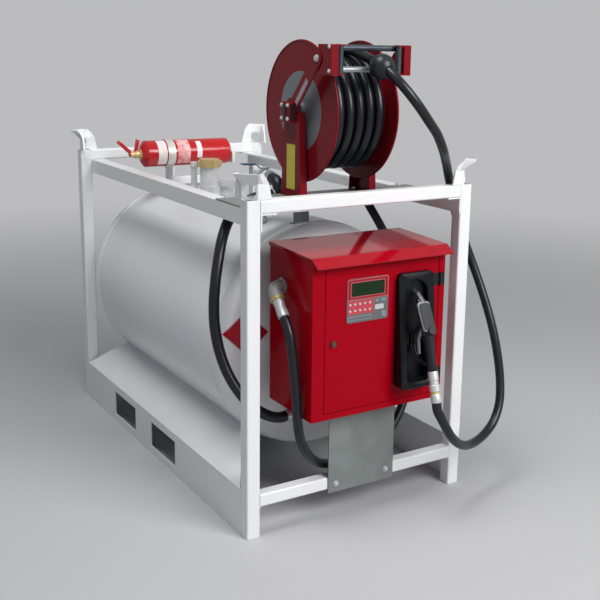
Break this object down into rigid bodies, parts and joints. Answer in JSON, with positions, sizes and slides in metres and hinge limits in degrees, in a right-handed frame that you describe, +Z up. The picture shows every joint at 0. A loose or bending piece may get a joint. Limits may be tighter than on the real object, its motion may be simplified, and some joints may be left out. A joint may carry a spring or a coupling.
{
  "type": "portable fuel tank with dispenser",
  "caption": "Horizontal tank in a stacking frame with a red dispenser cabinet, a hose reel on a deck and a nozzle in its boot.",
  "frame": {"origin": "centre of the rigid parts' box, on the ground that the frame stands on", "axes": "+X to the right along the dispenser end, +Y from the dispenser end to the rear, +Z up"},
  "size_m": [1.1898, 2.1418, 1.8135],
  "materials": {
    "white_paint": "satin",
    "red_enamel": "gloss",
    "reel_paint": "satin",
    "galvanised": "matt",
    "bright_steel": "satin",
    "brass": "satin",
    "black_steel": "satin",
    "blue_grip": "satin",
    "hose_rubber": "matt",
    "panel_plastic": "matt",
    "black_plastic": "satin",
    "extinguisher_red": "gloss",
    "valve_metal": "satin"
  },
  "bodies": {
    "frame": {"post_front_left": "white_paint", "post_front_right": "white_paint", "post_rear_left": "white_paint", "post_rear_right": "white_paint", "front_top_rail": "white_paint", "rear_top_rail": "white_paint", "left_top_angle": "white_paint", "right_top_angle": "white_paint", "front_bottom_rail": "white_paint", "rear_bottom_rail": "white_paint", "left_skirt": "white_paint", "right_skirt": "white_paint", "left_cradle": "white_paint", "right_cradle": "white_paint", "lug_front_left": "white_paint", "lug_front_right": "white_paint", "lug_rear_left": "white_paint", "lug_rear_right": "white_paint", "tank_shell": "white_paint", "tank_front_end": "white_paint", "tank_rear_end": "white_paint", "vent_pipe": "white_paint", "cabinet_body": "red_enamel", "cabinet_roof": "red_enamel", "reel_stand_left": "reel_paint", "reel_stand_right": "reel_paint", "guide_frame": "reel_paint", "reel_deck": "galvanised", "support_plate": "galvanised", "filler_neck": "bright_steel", "dip_tube": "bright_steel", "suction_valve": "bright_steel", "outlet_elbow": "bright_steel", "suction_tail": "bright_steel", "filler_cap": "brass", "door_hinges": "black_steel", "reel_shaft": "black_steel", "extinguisher_bracket": "black_steel", "suction_hose": "hose_rubber", "outlet_hose": "hose_rubber", "delivery_hose": "hose_rubber", "stop_ball": "hose_rubber", "extinguisher_cylinder": "extinguisher_red", "extinguisher_valve": "valve_metal"},
    "door": {"cabinet_door": "red_enamel", "door_leaves": "black_steel", "door_lock": "bright_steel", "keypad_panel": "panel_plastic", "nozzle_boot": "black_plastic", "nozzle": "black_plastic", "nozzle_swivel": "bright_steel"},
    "reel": {"reel_drum": "reel_paint", "reel_hub_plates": "galvanised", "wound_hose": "hose_rubber"},
    "lever": {"valve_lever": "blue_grip"},
    "roller_top": {"top_roller": "bright_steel"},
    "roller_low": {"lower_roller": "bright_steel"},
    "roller_left": {"left_side_roller": "bright_steel"},
    "roller_right": {"right_side_roller": "bright_steel"}
  },
  "joints": [
    {"name": "door_hinge", "type": "hinge", "parent": "frame", "child": "door", "pos_m": [0.2705, -0.8903, 0.758], "axis": [0, 0, 1], "range_deg": [0, 100], "deforming": ["delivery_hose"]},
    {"name": "reel_spin", "type": "hinge", "parent": "frame", "child": "reel", "pos_m": [0, -0.5088, 1.547], "axis": [1, 0, 0], "continuous": true},
    {"name": "valve_turn", "type": "hinge", "parent": "frame", "child": "lever", "pos_m": [-0.15, -0.2708, 1.305], "axis": [0, 0, 1], "range_deg": [-90, 0]},
    {"name": "top_roller_spin", "type": "hinge", "parent": "frame", "child": "roller_top", "pos_m": [0, -0.7448, 1.786], "axis": [1, 0, 0], "continuous": true},
    {"name": "low_roller_spin", "type": "hinge", "parent": "frame", "child": "roller_low", "pos_m": [0, -0.7448, 1.71], "axis": [1, 0, 0], "continuous": true},
    {"name": "left_roller_spin", "type": "hinge", "parent": "frame", "child": "roller_left", "pos_m": [-0.126, -0.7708, 1.748], "axis": [0, 0, 1], "continuous": true},
    {"name": "right_roller_spin", "type": "hinge", "parent": "frame", "child": "roller_right", "pos_m": [0.126, -0.7708, 1.748], "axis": [0, 0, 1], "continuous": true}
  ]
}
